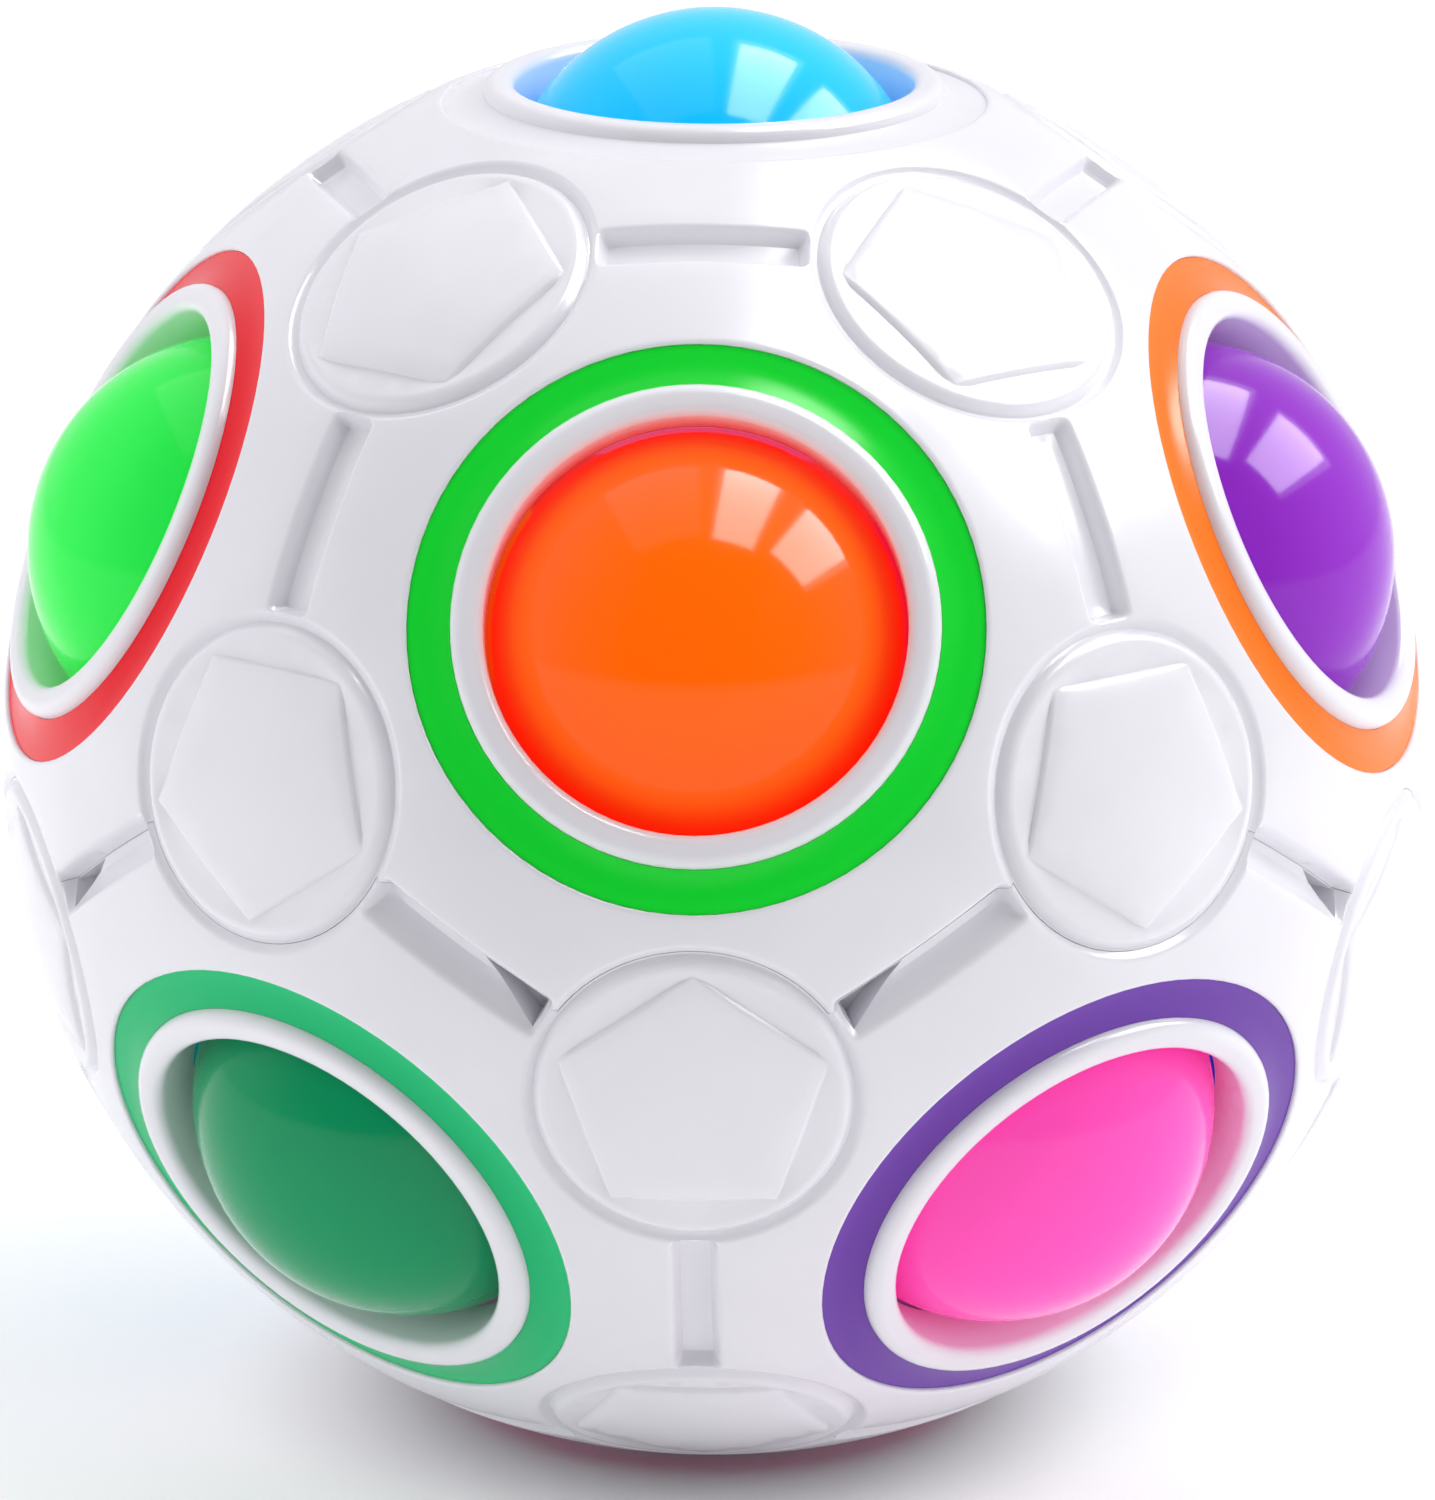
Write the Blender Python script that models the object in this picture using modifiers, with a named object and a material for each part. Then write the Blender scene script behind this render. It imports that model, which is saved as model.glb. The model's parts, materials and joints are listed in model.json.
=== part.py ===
"""Ball-shifting sphere puzzle: a hollow football-patterned shell with twelve holes and eleven coloured balls.

Twelve holes lie at the corners of an icosahedron. Eleven hold a ball that a spring plunger pushes out against the
hole's collar, and the bottom hole is the empty one. Inside, a small core floats between the twelve plungers.
The shell is two halves that meet along a zigzag seam, with round tabs that lock into each other.

Metres, +Z up. The puzzle stands on the collar of its empty bottom hole, which lies at z = 0.
"""

import math

import bmesh
import bpy
from mathutils import Matrix, Vector

MM = 0.001

# Driving dimensions, all measured from the puzzle's centre unless they say otherwise.
SHELL_RADIUS = 35.0 * MM
SHELL_INNER_RADIUS = 31.9 * MM
HOLE_RADIUS = 9.6 * MM
COLLAR_RADIUS = 11.1 * MM
COLLAR_TOP = 33.45 * MM
COLLAR_BOTTOM = 31.15 * MM
INLAY_OUTER_RADIUS = 13.1 * MM
INLAY_FLOOR = 31.5 * MM
INLAY_SIDE_GAP = 0.2 * MM
INLAY_SINK = 0.25 * MM
BALL_RADIUS = 10.4 * MM
BALL_SEAT = 26.3 * MM
PRESS_TRAVEL = 5.0 * MM
GAP = 0.3 * MM

# The puzzle's centre is above the plane that it stands on.
CENTRE_HEIGHT = COLLAR_TOP

# Angle between neighbouring holes.
HOLE_ANGLE = math.atan(2.0)

# The seam has ten corners round the equator. Even ones lie above it, between two holes of the upper ring.
SEAM_CORNERS = 10
SEAM_STEP = 36.0
SEAM_START = -54.0
SEAM_ELEVATION = math.asin(math.sqrt((5.0 - 2.0 * math.sqrt(5.0)) / 15.0))
SEAM_TILT = math.radians(31.72)

# Round bosses where three panels meet, and the slots between two bosses.
BOSS_RADIUS = SHELL_RADIUS * math.sin(math.radians(12.3))
SLOT_LENGTH = 2.0 * SHELL_RADIUS * math.sin(math.radians(7.5))
SLOT_WIDTH = 1.6 * MM
SLOT_DEPTH = 1.4 * MM
SEAM_GAP = 0.3 * MM

# Plunger: a domed head on a stem. Pressed in, the twelve heads lie on one sphere that a ball can roll over.
PLUNGER_APEX = BALL_SEAT - BALL_RADIUS - GAP
PLUNGER_DOME_RADIUS = PLUNGER_APEX - PRESS_TRAVEL
PLUNGER_HEAD_RADIUS = 5.2 * MM
PLUNGER_UNDERSIDE = 13.6 * MM
PLUNGER_POCKET_RADIUS = 3.5 * MM
PLUNGER_POCKET_CEILING = 14.5 * MM
PLUNGER_STEM_RADIUS = 1.0 * MM
PLUNGER_STEM_END = 6.95 * MM
PLUNGER_STEM_TAPER = 0.2 * MM

# Core: a ball in two halves, with a guide tube and a spring pocket for each plunger.
CORE_RADIUS = PLUNGER_UNDERSIDE - PRESS_TRAVEL - GAP
CORE_TURN = SHELL_TURN = Matrix.Rotation(math.radians(11.0), 4, Vector((1.0, 0.6, 0.3)))
CORE_VOID_RADIUS = 3.0 * MM
GUIDE_BORE_RADIUS = 1.2 * MM
GUIDE_TUBE_RADIUS = 1.8 * MM
GUIDE_TUBE_TOP = PLUNGER_POCKET_CEILING - PRESS_TRAVEL - GAP
POCKET_RADIUS = 3.1 * MM
POCKET_FLOOR = 7.0 * MM

SPRING_RADIUS = 2.45 * MM
SPRING_WIRE_RADIUS = 0.2 * MM
SPRING_TURNS = 3
SPRING_POINTS_A_TURN = 6

HOLE_SIDES = 20
BALL_DETAIL = 3
SHELL_DETAIL = 4
SHELL_INNER_DETAIL = 3
PLUNGER_SIDES = 10
BOSS_SIDES = 16
CORE_DETAIL = 2

# Each seat: azimuth and polar angle of its hole, then the colours of its ball and of its inlay ring.
LOW_ANGLE = math.pi - HOLE_ANGLE
SEATS = {
    "top": (0, 0.0, "sky_blue", None),
    "front": (-90, HOLE_ANGLE, "orange", "light_green"),
    "front_right": (-18, HOLE_ANGLE, "purple", "orange"),
    "back_right": (54, HOLE_ANGLE, "yellow", "sky_blue"),
    "back_left": (126, HOLE_ANGLE, "red", "yellow"),
    "front_left": (198, HOLE_ANGLE, "light_green", "red"),
    "low_front_right": (-54, LOW_ANGLE, "pink", "purple"),
    "low_right": (18, LOW_ANGLE, "blue", "magenta"),
    "low_back": (90, LOW_ANGLE, "magenta", "teal"),
    "low_left": (162, LOW_ANGLE, "teal", "blue"),
    "low_front_left": (234, LOW_ANGLE, "dark_green", "dark_green"),
    "bottom": (0, math.pi, None, "pink"),
}

COLOURS = {
    "white": (0.88, 0.88, 0.90),
    "grey": (0.55, 0.56, 0.58),
    "steel": (0.62, 0.63, 0.65),
    "sky_blue": (0.02, 0.62, 0.95),
    "orange": (1.0, 0.20, 0.01),
    "light_green": (0.03, 0.75, 0.08),
    "purple": (0.28, 0.05, 0.60),
    "red": (0.80, 0.01, 0.03),
    "pink": (0.90, 0.06, 0.42),
    "dark_green": (0.01, 0.30, 0.10),
    "yellow": (0.95, 0.68, 0.02),
    "blue": (0.02, 0.10, 0.65),
    "magenta": (0.62, 0.02, 0.35),
    "teal": (0.01, 0.42, 0.42),
}


def clear_scene():
    for obj in list(bpy.data.objects):
        bpy.data.objects.remove(obj, do_unlink=True)


def collection(name):
    made = bpy.data.collections.new(name)
    bpy.context.scene.collection.children.link(made)
    return made


def material(colour, roughness=0.3, metallic=0.0):
    """The Principled material of that colour, made once."""
    found = bpy.data.materials.get(colour)
    if found:
        return found
    made = bpy.data.materials.new(colour)
    made.use_nodes = True
    shader = made.node_tree.nodes["Principled BSDF"]
    shader.inputs["Base Color"].default_value = (*COLOURS[colour], 1.0)
    shader.inputs["Roughness"].default_value = roughness
    shader.inputs["Metallic"].default_value = metallic
    return made


def place(obj, home, parent, matrix=None):
    """Links obj to a collection, in the frame of its parent."""
    home.objects.link(obj)
    obj.parent = parent
    if matrix is not None:
        obj.matrix_basis = matrix
    return obj


def as_cutter(obj):
    obj.hide_render = True
    obj.display_type = "WIRE"
    return obj


def direction(azimuth, polar):
    """The unit vector at that azimuth in degrees and that angle from +Z in radians."""
    a = math.radians(azimuth)
    return Vector((math.sin(polar) * math.cos(a), math.sin(polar) * math.sin(a), math.cos(polar)))


def turned(name, profile, sides):
    """A solid of revolution about Z. The profile runs down its outer side, and starts and ends on the axis
    or closes on itself."""
    mesh = bpy.data.meshes.new(name)
    closed = profile[0][0] > 0.0
    count = len(profile)
    edges = [(i, i + 1) for i in range(count - 1)]
    if closed:
        edges.append((count - 1, 0))
    mesh.from_pydata([(r, 0.0, z) for r, z in profile], edges, [])
    obj = bpy.data.objects.new(name, mesh)
    screw = obj.modifiers.new("turn", "SCREW")
    screw.steps = sides
    screw.render_steps = sides
    screw.use_merge_vertices = True
    screw.merge_threshold = 1e-6
    screw.use_smooth_shade = False
    return obj


def lathe_set(name, profile, sides, half_step=False):
    """One mesh with the same solid of revolution on the axis of every hole. Its profile runs as in turned.
    A half step turns the corners off those of another set, which a clean Boolean needs."""
    whole = bmesh.new()
    step = Matrix.Rotation(math.pi / sides if half_step else 0.0, 4, "Z")
    for seat in SEATS:
        form = bmesh.new()
        verts = [form.verts.new((r, 0.0, z)) for r, z in profile]
        edges = [form.edges.new(pair) for pair in zip(verts, verts[1:])]
        if profile[0][0] > 0.0:
            edges.append(form.edges.new((verts[-1], verts[0])))
        bmesh.ops.spin(
            form, geom=verts + edges, cent=(0.0, 0.0, 0.0), axis=(0.0, 0.0, 1.0),
            angle=2.0 * math.pi, steps=sides, use_merge=True,
        )
        bmesh.ops.remove_doubles(form, verts=form.verts, dist=1e-6)
        bmesh.ops.recalc_face_normals(form, faces=form.faces)
        form.transform(seat_turn(seat) @ step)
        single = bpy.data.meshes.new(name)
        form.to_mesh(single)
        form.free()
        whole.from_mesh(single)
        bpy.data.meshes.remove(single)
    mesh = bpy.data.meshes.new(name)
    whole.to_mesh(mesh)
    whole.free()
    return as_cutter(bpy.data.objects.new(name, mesh))


def ball_mesh(name, radius, detail, turn=Matrix.Identity(4)):
    """A sphere of even triangles, with a corner at each pole."""
    mesh = bpy.data.meshes.new(name)
    form = bmesh.new()
    bmesh.ops.create_icosphere(form, subdivisions=detail, radius=radius, matrix=turn)
    form.to_mesh(mesh)
    form.free()
    return mesh


def boolean(obj, other, operation):
    """An exact Boolean modifier on obj."""
    cut = obj.modifiers.new(operation.lower(), "BOOLEAN")
    cut.operation = operation
    cut.solver = "EXACT"
    cut.object = other
    return cut


def seat_turn(seat):
    """Turns +Z out along the axis of that seat's hole."""
    azimuth, polar = SEATS[seat][:2]
    return Matrix.Rotation(math.radians(azimuth), 4, "Z") @ Matrix.Rotation(polar, 4, "Y")


def seat_empties(centre, home):
    """One empty for each hole, at the puzzle's centre, with its own +Z out along the hole's axis."""
    return {
        name: place(bpy.data.objects.new(f"seat_{name}", None), home, centre, seat_turn(name)) for name in SEATS
    }


def hole_cutters():
    """Opens the shell for each collar and sinks the floor that its inlay ring lies on."""
    middle = (HOLE_RADIUS + COLLAR_RADIUS) / 2.0
    above = SHELL_RADIUS * 1.15
    below = SHELL_INNER_RADIUS * 0.7
    profile = [
        (0.0, above),
        (INLAY_OUTER_RADIUS, above),
        (INLAY_OUTER_RADIUS, INLAY_FLOOR),
        (middle, INLAY_FLOOR),
        (middle, below),
        (0.0, below),
    ]
    return lathe_set("hole_cutters", profile, HOLE_SIDES)


def collars():
    """The raised ring round each hole, which keeps its ball in."""
    profile = [
        (HOLE_RADIUS, COLLAR_TOP),
        (COLLAR_RADIUS, COLLAR_TOP),
        (COLLAR_RADIUS, COLLAR_BOTTOM),
        (HOLE_RADIUS, COLLAR_BOTTOM),
    ]
    return lathe_set("collars", profile, HOLE_SIDES, half_step=True)


def seam_point(step, radius):
    """A corner of the zigzag seam. Even corners are above the equator and odd ones below."""
    elevation = SEAM_ELEVATION if step % 2 == 0 else -SEAM_ELEVATION
    azimuth = SEAM_START + SEAM_STEP * step
    return direction(azimuth, math.pi / 2.0 - elevation) * radius


def seam_wedge(name, side):
    """Everything on one side of the zigzag seam: side 1 is above it and side -1 below."""
    reach = SHELL_RADIUS * 3.0
    shift = Vector((0.0, 0.0, side * SEAM_GAP / 2.0 / math.cos(SEAM_TILT)))
    rim = [seam_point(step, reach) + shift for step in range(SEAM_CORNERS)]
    mesh = bpy.data.meshes.new(name)
    form = bmesh.new()
    corners = [form.verts.new(p) for p in rim]
    middle = form.verts.new(shift)
    pole = form.verts.new((0.0, 0.0, side * reach))
    for i, corner in enumerate(corners):
        following = corners[(i + 1) % SEAM_CORNERS]
        form.faces.new((middle, following, corner))
        form.faces.new((pole, corner, following))
    bmesh.ops.recalc_face_normals(form, faces=form.faces)
    form.to_mesh(mesh)
    form.free()
    return as_cutter(bpy.data.objects.new(name, mesh))


def boss_cylinder(name, step, radius):
    """A cylinder through the shell at one corner of the seam, for a tab or for the notch round it."""
    mesh = bpy.data.meshes.new(name)
    form = bmesh.new()
    bmesh.ops.create_cone(
        form, cap_ends=True, segments=BOSS_SIDES, radius1=radius, radius2=radius, depth=SHELL_RADIUS
    )
    form.to_mesh(mesh)
    form.free()
    obj = as_cutter(bpy.data.objects.new(name, mesh))
    out = seam_point(step, 1.0)
    obj.matrix_basis = Matrix.Translation(out * SHELL_RADIUS) @ out.to_track_quat("Z", "Y").to_matrix().to_4x4()
    return obj


def half_space(side, name, centre, cutters):
    """One half's share of the shell: its side of the seam, with its own five round tabs added
    and the other half's five taken away."""
    wedge = place(seam_wedge(name, side), cutters, centre)
    own = 0 if side == 1 else 1
    for step in range(SEAM_CORNERS):
        mine = step % 2 == own
        radius = BOSS_RADIUS if mine else BOSS_RADIUS + SEAM_GAP
        tab = place(boss_cylinder(f"{name}_boss_{step}", step, radius), cutters, centre)
        boolean(wedge, tab, "UNION" if mine else "DIFFERENCE")
    return wedge


def slot_cutters():
    """A slot between each pair of neighbouring holes, across the line that joins them."""
    mesh = bpy.data.meshes.new("slot_cutters")
    form = bmesh.new()
    size = Matrix.Diagonal((SLOT_LENGTH, SLOT_WIDTH, SLOT_DEPTH * 2.0, 1.0))
    for first, second in neighbours():
        out = (first + second).normalized()
        across = (second - first).normalized()
        turn = Matrix((across.cross(out), across, out)).transposed().to_4x4()
        bmesh.ops.create_cube(form, size=1.0, matrix=Matrix.Translation(out * SHELL_RADIUS) @ turn @ size)
    form.to_mesh(mesh)
    form.free()
    return as_cutter(bpy.data.objects.new("slot_cutters", mesh))


def neighbours():
    """Each pair of holes that a ball can shift between."""
    outs = [direction(azimuth, polar) for azimuth, polar, _, _ in SEATS.values()]
    reach = math.radians(70.0)
    return [(a, b) for i, a in enumerate(outs) for b in outs[i + 1 :] if a.angle(b) < reach]


def make_shells(centre, parts, cutters):
    """The two white halves of the outer shell."""
    inner = ball_mesh("shell_void", SHELL_INNER_RADIUS, SHELL_INNER_DETAIL, SHELL_TURN)
    void = place(as_cutter(bpy.data.objects.new("shell_void", inner)), cutters, centre)
    holes = place(hole_cutters(), cutters, centre)
    rims = place(collars(), cutters, centre)
    slots = place(slot_cutters(), cutters, centre)
    for name, side in (("shell_upper", 1), ("shell_lower", -1)):
        shell = bpy.data.objects.new(name, ball_mesh(name, SHELL_RADIUS, SHELL_DETAIL, SHELL_TURN))
        place(shell, parts, centre)
        shell.data.materials.append(material("white"))
        boolean(shell, void, "DIFFERENCE")
        boolean(shell, holes, "DIFFERENCE")
        boolean(shell, rims, "UNION")
        boolean(shell, slots, "DIFFERENCE")
        boolean(shell, half_space(side, f"{name}_share", centre, cutters), "INTERSECT")


def inlay_profile():
    """The section of a coloured inlay ring, whose top follows the shell's curve a little below its surface."""
    inner = COLLAR_RADIUS + INLAY_SIDE_GAP
    outer = INLAY_OUTER_RADIUS - INLAY_SIDE_GAP
    bottom = INLAY_FLOOR + INLAY_SIDE_GAP
    face = SHELL_RADIUS - INLAY_SINK
    return [
        (inner, math.sqrt(face**2 - inner**2)),
        (outer, math.sqrt(face**2 - outer**2)),
        (outer, bottom),
        (inner, bottom),
    ]


def plunger_profile():
    """The section of a plunger: domed head, spring pocket round the stem, and tapered stem end."""
    dome_centre = PLUNGER_APEX - PLUNGER_DOME_RADIUS
    rim_angle = math.asin(PLUNGER_HEAD_RADIUS / PLUNGER_DOME_RADIUS)
    dome_steps = 2
    dome = [
        (
            PLUNGER_DOME_RADIUS * math.sin(rim_angle * i / dome_steps),
            dome_centre + PLUNGER_DOME_RADIUS * math.cos(rim_angle * i / dome_steps),
        )
        for i in range(dome_steps + 1)
    ]
    return dome + [
        (PLUNGER_HEAD_RADIUS, PLUNGER_UNDERSIDE),
        (PLUNGER_POCKET_RADIUS, PLUNGER_UNDERSIDE),
        (PLUNGER_POCKET_RADIUS, PLUNGER_POCKET_CEILING),
        (PLUNGER_STEM_RADIUS, PLUNGER_POCKET_CEILING),
        (PLUNGER_STEM_RADIUS, PLUNGER_STEM_END),
        (PLUNGER_STEM_RADIUS - PLUNGER_STEM_TAPER, PLUNGER_STEM_END - PLUNGER_STEM_TAPER),
        (0.0, PLUNGER_STEM_END - PLUNGER_STEM_TAPER),
    ]


def make_spring(name):
    """A coil spring round the stem, from the core's pocket to the plunger's."""
    data = bpy.data.curves.new(name, "CURVE")
    data.dimensions = "3D"
    data.bevel_depth = SPRING_WIRE_RADIUS
    data.bevel_resolution = 0
    data.use_fill_caps = True
    spline = data.splines.new("POLY")
    start = POCKET_FLOOR + GAP + SPRING_WIRE_RADIUS
    end = PLUNGER_POCKET_CEILING - GAP - SPRING_WIRE_RADIUS
    count = SPRING_TURNS * SPRING_POINTS_A_TURN + 1
    spline.points.add(count - 1)
    for i, point in enumerate(spline.points):
        turn = 2.0 * math.pi * i / SPRING_POINTS_A_TURN
        height = start + (end - start) * i / (count - 1)
        point.co = (SPRING_RADIUS * math.cos(turn), SPRING_RADIUS * math.sin(turn), height, 1.0)
    return bpy.data.objects.new(name, data)


def make_seat_parts(seats, parts):
    """The ball, inlay ring, plunger and spring of each hole."""
    balls = ball_mesh("ball", BALL_RADIUS, BALL_DETAIL)
    for name, (_, _, ball_colour, ring_colour) in SEATS.items():
        seat = seats[name]
        if ball_colour:
            ball = bpy.data.objects.new(f"ball_{ball_colour}", balls.copy())
            ball.data.materials.append(material(ball_colour, roughness=0.12))
            place(ball, parts, seat, Matrix.Translation((0.0, 0.0, BALL_SEAT)))
        if ring_colour:
            ring = turned(f"ring_{ring_colour}", inlay_profile(), HOLE_SIDES)
            ring.data.materials.append(material(ring_colour))
            place(ring, parts, seat)
        plunger = turned(f"plunger_{name}", plunger_profile(), PLUNGER_SIDES)
        plunger.data.materials.append(material("grey", roughness=0.45))
        place(plunger, parts, seat)
        spring = make_spring(f"spring_{name}")
        spring.data.materials.append(material("steel", roughness=0.3, metallic=1.0))
        place(spring, parts, seat)


def core_plug(name, radius, bottom, top, half_step=False):
    """A plain cylinder on the axis of every hole."""
    profile = [(0.0, top), (radius, top), (radius, bottom), (0.0, bottom)]
    return lathe_set(name, profile, PLUNGER_SIDES, half_step)


def make_core(centre, parts, cutters):
    """The two halves of the floating core: guide tubes in spring pockets, round a hollow that the stems
    move into."""
    outside = CORE_RADIUS * 1.4
    tube_root = (CORE_VOID_RADIUS + POCKET_FLOOR) / 2.0
    pockets = place(core_plug("core_pockets", POCKET_RADIUS, POCKET_FLOOR, outside), cutters, centre)
    tubes = place(core_plug("core_tubes", GUIDE_TUBE_RADIUS, tube_root, GUIDE_TUBE_TOP, True), cutters, centre)
    bores = place(core_plug("core_bores", GUIDE_BORE_RADIUS, CORE_VOID_RADIUS * 0.7, outside), cutters, centre)
    hollow = ball_mesh("core_void", CORE_VOID_RADIUS, 3, CORE_TURN)
    void = place(as_cutter(bpy.data.objects.new("core_void", hollow)), cutters, centre)
    for name, side in (("core_upper", 1), ("core_lower", -1)):
        core = bpy.data.objects.new(name, ball_mesh(name, CORE_RADIUS, CORE_DETAIL, CORE_TURN))
        place(core, parts, centre)
        core.data.materials.append(material("grey", roughness=0.45))
        boolean(core, pockets, "DIFFERENCE")
        boolean(core, tubes, "UNION")
        boolean(core, void, "DIFFERENCE")
        boolean(core, bores, "DIFFERENCE")
        size = CORE_RADIUS * 3.0
        mesh = bpy.data.meshes.new(f"{name}_block")
        form = bmesh.new()
        bmesh.ops.create_cube(form, size=size)
        form.to_mesh(mesh)
        form.free()
        block = as_cutter(bpy.data.objects.new(f"{name}_block", mesh))
        lift = side * (size / 2.0 + SEAM_GAP / 2.0)
        place(block, cutters, centre, Matrix.Translation((0.0, 0.0, lift)))
        boolean(core, block, "INTERSECT")


def main():
    clear_scene()
    parts = collection("ball_shifting_puzzle")
    cutters = collection("cutters")
    centre = bpy.data.objects.new("puzzle_centre", None)
    place(centre, parts, None, Matrix.Translation((0.0, 0.0, CENTRE_HEIGHT)))
    seats = seat_empties(centre, parts)
    make_shells(centre, parts, cutters)
    make_seat_parts(seats, parts)
    make_core(centre, parts, cutters)


main()
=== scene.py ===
"""The looks of the ball shifting sphere puzzle: a fine shell with its bosses, slots and collars,
glossy balls, painted rings, and the plungers, springs and core inside."""

import itertools
import json
import math

import bmesh
import bpy
from mathutils import Matrix, Vector, geometry, kdtree


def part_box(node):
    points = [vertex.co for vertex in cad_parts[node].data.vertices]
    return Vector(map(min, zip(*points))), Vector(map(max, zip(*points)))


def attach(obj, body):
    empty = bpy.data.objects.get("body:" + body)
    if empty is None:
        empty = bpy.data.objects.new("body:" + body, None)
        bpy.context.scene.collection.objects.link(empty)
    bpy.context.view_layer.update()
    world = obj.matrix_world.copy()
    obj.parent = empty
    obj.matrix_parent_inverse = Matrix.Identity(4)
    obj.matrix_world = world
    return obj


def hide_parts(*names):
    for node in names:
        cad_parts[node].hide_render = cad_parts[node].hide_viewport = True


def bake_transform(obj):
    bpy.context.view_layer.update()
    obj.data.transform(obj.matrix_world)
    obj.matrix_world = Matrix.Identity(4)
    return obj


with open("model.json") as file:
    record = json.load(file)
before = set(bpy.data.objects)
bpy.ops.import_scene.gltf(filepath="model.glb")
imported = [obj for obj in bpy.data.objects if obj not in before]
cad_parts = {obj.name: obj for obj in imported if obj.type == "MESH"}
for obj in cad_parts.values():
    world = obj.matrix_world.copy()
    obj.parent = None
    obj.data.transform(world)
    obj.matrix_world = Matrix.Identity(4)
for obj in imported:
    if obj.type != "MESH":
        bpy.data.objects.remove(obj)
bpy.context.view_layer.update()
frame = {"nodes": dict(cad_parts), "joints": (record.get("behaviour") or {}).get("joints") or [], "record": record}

MM = 0.001

# --------------------------------------------------------------------------------------------------
# Places, from the frame
# --------------------------------------------------------------------------------------------------

SLOT_OF = {s["node"]: s["material_slot"] for s in frame["record"]["subparts"]}
JOINTS = {j["name"]: j for j in frame["joints"]}
SEATS = {n.removeprefix("plunger_slide_"): -Vector(j["axis"]) for n, j in JOINTS.items() if "plunger" in n}
BALLS = {n.removeprefix("ball_press_"): j["child"] for n, j in JOINTS.items() if "ball" in n}
RINGS = [n for n in frame["nodes"] if n.startswith("ring_")]
BODY_OF = {n: b for b, members in frame["record"]["behaviour"]["bodies"].items() for n in members}

CENTRE = Vector((0.0, 0.0, (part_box("shell_upper")[1].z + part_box("shell_lower")[0].z) / 2.0))

# Every collar reaches as far from the centre as the one that the puzzle stands on, in mm.
COLLAR_TOP = CENTRE.z / MM


def middle(node):
    low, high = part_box(node)
    return (low + high) / 2.0


# All lengths from here on are in millimetres from the puzzle's centre, unless they say otherwise.
BALL_SEAT = (middle(BALLS["top"]) - CENTRE).length / MM
BALL_RADIUS = (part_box(BALLS["top"])[1].z - CENTRE.z) / MM - BALL_SEAT

SHELL_RADIUS = 35.0
SHELL_INNER = 31.9
HOLE_ANGLE = math.atan(2.0)
FACE_TO_HOLE = math.acos(math.sqrt((5.0 + 2.0 * math.sqrt(5.0)) / 15.0))
FACE_TO_SLOT = math.acos(math.sqrt((3.0 + math.sqrt(5.0)) / 6.0))

# The hole's surroundings are turned on its axis. The panels start where its rounded edge ends.
PANEL_START = math.radians(22.7)
HOLE_RADIUS = 9.6
COLLAR_RADIUS = 11.1
RECESS_RADIUS = 13.1
RECESS_FLOOR = 31.55
THROAT_RADIUS = 10.35
LIP_BOTTOM = 30.62
HOLE_STEPS = 80
RECESS_LIP = ((13.38, 0.0), (13.28, 0.012), (13.2, 0.045), (13.14, 0.1), (13.105, 0.18))  # radius, drop
RECESS_WALL_TOP = 31.95
HOLE_WALL_TOP = 31.7
THROAT_TOP = 30.5
THROAT_BOTTOM = 30.22

# Round boss where three panels meet, with its pentagon.
DISC_RADIUS = 7.5
DISC_STEPS = 72
PENTAGON_RADIUS = 6.55
SEAM_RHO = DISC_RADIUS + 0.09
SEAM_WIDTH = 0.03

# Slot between two bosses.
SLOT_HALF_WIDTH = 1.15
SLOT_HALF_LENGTH = SHELL_RADIUS * FACE_TO_SLOT - 7.8
SLOT_CORNER = 0.5
SLOT_DEPTH = 1.15
EVEN_SHARE = 0.82
SHALLOW_SHARE = 0.3
SEAM_OFFSET = 0.66

# Deep wedge at the end of a slot on the parting line.
POCKET_WALL = 0.06
POCKET_DEPTH = 1.2

# Distances of the lines in a panel's sketch from the outlines that they follow.
SLOT_OFFSETS = [0.2, 0.08, 0.0, -0.1, -0.21, -0.32, -0.44, -0.7, -0.95]
DISC_RINGS = [-0.85, -0.55, -0.38, -0.24, -0.12, -0.03]
PANEL_RINGS = [0.18, 0.3, 0.42, 0.58]
PENTAGON_OFFSETS = [-0.2, -0.06, 0.06, 0.2]
MERGE_DISTANCE = 0.004
SLIVER = 0.0005


def link(obj):
    bpy.context.scene.collection.objects.link(obj)
    return obj


def mesh_object(name, form, smooth_angle=math.radians(38.0)):
    """Turns a bmesh into a shaded object, and frees the bmesh."""
    bmesh.ops.recalc_face_normals(form, faces=form.faces)
    mesh = bpy.data.meshes.new(name)
    form.to_mesh(mesh)
    form.free()
    for face in mesh.polygons:
        face.use_smooth = True
    mesh.set_sharp_from_angle(angle=smooth_angle)
    return link(bpy.data.objects.new(name, mesh))


# --------------------------------------------------------------------------------------------------
# Shell
# --------------------------------------------------------------------------------------------------


def smooth(x, low, high):
    """0 below low, 1 above high, and a soft step in between."""
    t = min(1.0, max(0.0, (x - low) / (high - low)))
    return t * t * (3.0 - 2.0 * t)


def spot(rho, azimuth):
    """The direction at that arc distance in mm, and that azimuth, from a panel's middle, which is +Z."""
    a = rho / SHELL_RADIUS
    return Vector((math.sin(a) * math.cos(azimuth), math.sin(a) * math.sin(azimuth), math.cos(a)))


def rho_of(p):
    return SHELL_RADIUS * math.acos(max(-1.0, min(1.0, p.z)))


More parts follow.
